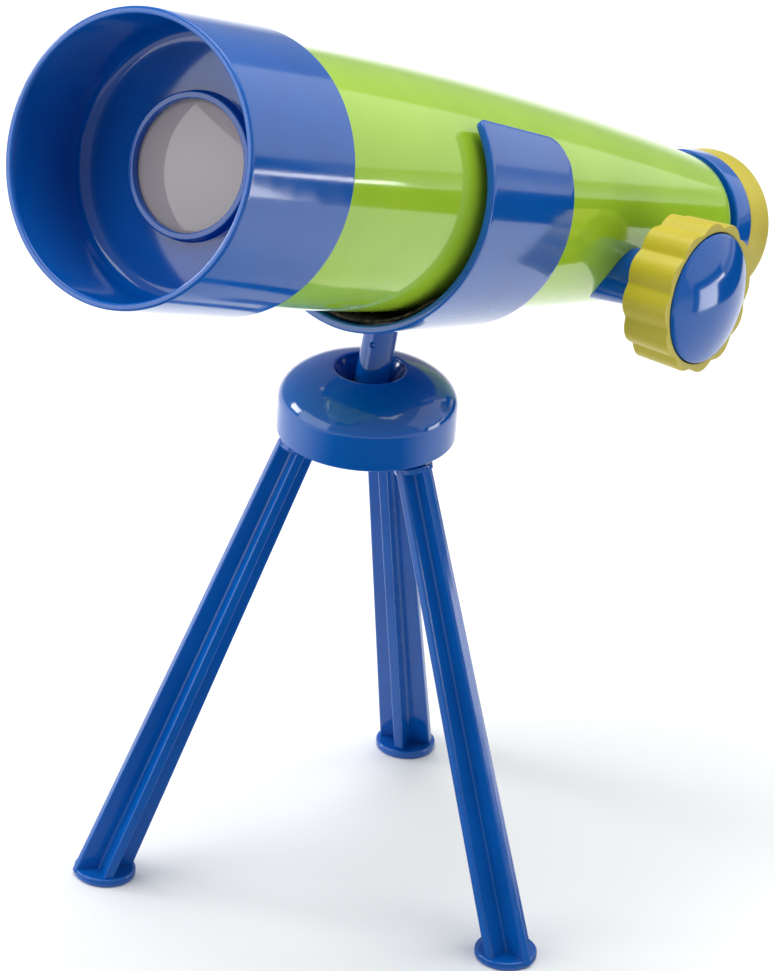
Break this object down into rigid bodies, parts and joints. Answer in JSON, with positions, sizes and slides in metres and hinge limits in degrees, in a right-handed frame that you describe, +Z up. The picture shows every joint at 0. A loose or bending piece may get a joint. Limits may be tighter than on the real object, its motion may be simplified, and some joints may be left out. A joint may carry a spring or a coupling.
{
  "type": "toy telescope on tripod",
  "caption": "Child's telescope with flared front hood, side focus knob and sliding eyepiece, held in a C-shaped cradle on a ball-jointed table tripod with plug-in legs.",
  "frame": {"origin": "centre of the bounding box's base, on the surface that the feet stand on", "axes": "+Z up, -Y the way the objective looks, +X the side of the focus knob"},
  "size_m": [0.132, 0.3004, 0.2976],
  "materials": {
    "blue_plastic": "glossy moulded ABS, royal blue",
    "green_plastic": "glossy moulded ABS, lime green",
    "yellow_plastic": "satin moulded plastic, mustard yellow",
    "black_plastic": "matt black moulding",
    "nylon": "natural acetal or nylon",
    "foam": "dark cellular foam rubber",
    "steel": "zinc-plated screw and turned shaft",
    "lens": "clear polished lens"
  },
  "bodies": {
    "hub": {"hub_cover": "blue_plastic", "hub_base": "blue_plastic", "hub_screw_1": "steel", "hub_screw_2": "steel", "hub_screw_3": "steel"},
    "leg_front_left": {"leg_front_left": "blue_plastic"},
    "leg_right": {"leg_right": "blue_plastic"},
    "leg_rear": {"leg_rear": "blue_plastic"},
    "pan_seat": {"ball_seat": "black_plastic"},
    "ball": {"swivel_ball": "black_plastic"},
    "mount": {"swivel_post": "blue_plastic", "cradle": "blue_plastic", "cradle_pad": "foam", "cradle_screw": "steel"},
    "telescope": {"front_hood": "blue_plastic", "objective_lens": "lens", "lens_retaining_ring": "black_plastic", "body_tube": "green_plastic", "draw_tube_guide": "black_plastic", "focus_housing": "blue_plastic", "shaft_bush": "nylon"},
    "focus_drive": {"focus_knob": "yellow_plastic", "knob_cap": "blue_plastic", "knob_screw": "steel", "focus_shaft": "steel", "focus_pinion": "nylon"},
    "eyepiece": {"draw_tube": "black_plastic", "focus_rack": "nylon", "eyepiece_collar": "blue_plastic", "eye_lens": "lens", "eyecup": "yellow_plastic"}
  },
  "joints": [
    {"name": "ball_pan", "type": "hinge", "parent": "hub", "child": "pan_seat", "pos_m": [-0.01296, -0.02363, 0.15], "axis": [0, 0, 1], "continuous": true},
    {"name": "ball_tilt", "type": "hinge", "parent": "pan_seat", "child": "ball", "pos_m": [-0.01296, -0.02363, 0.15], "axis": [1, 0, 0], "range_deg": [-6, 28]},
    {"name": "ball_lean", "type": "hinge", "parent": "ball", "child": "mount", "pos_m": [-0.01296, -0.02363, 0.15], "axis": [0, 1, 0], "range_deg": [-11, 11]},
    {"name": "tube_roll", "type": "hinge", "parent": "mount", "child": "telescope", "pos_m": [-0.01296, -0.02363, 0.2164], "axis": [0, 0.9298, -0.3681], "continuous": true},
    {"name": "knob_turn", "type": "hinge", "parent": "telescope", "child": "focus_drive", "pos_m": [-0.01203, 0.0613, 0.1685], "axis": [0.9976, 0.0257, 0.0649], "range_deg": [-229, 25]},
    {"name": "eyepiece_slide", "type": "slide", "parent": "telescope", "child": "eyepiece", "axis": [0, 0.9298, -0.3681], "range_m": [-0.0022, 0.0182]},
    {"name": "leg_front_left_pull", "type": "slide", "parent": "hub", "child": "leg_front_left", "axis": [-0.2197, -0.2772, -0.9353], "range_m": [0, 0.012]},
    {"name": "leg_right_pull", "type": "slide", "parent": "hub", "child": "leg_right", "axis": [0.35, -0.0517, -0.9353], "range_m": [0, 0.012]},
    {"name": "leg_rear_pull", "type": "slide", "parent": "hub", "child": "leg_rear", "axis": [-0.1302, 0.3289, -0.9353], "range_m": [0, 0.012]}
  ],
  "couplings": [
    {"joint": "eyepiece_slide", "follows": "knob_turn", "m_per_rad": -0.0045}
  ]
}
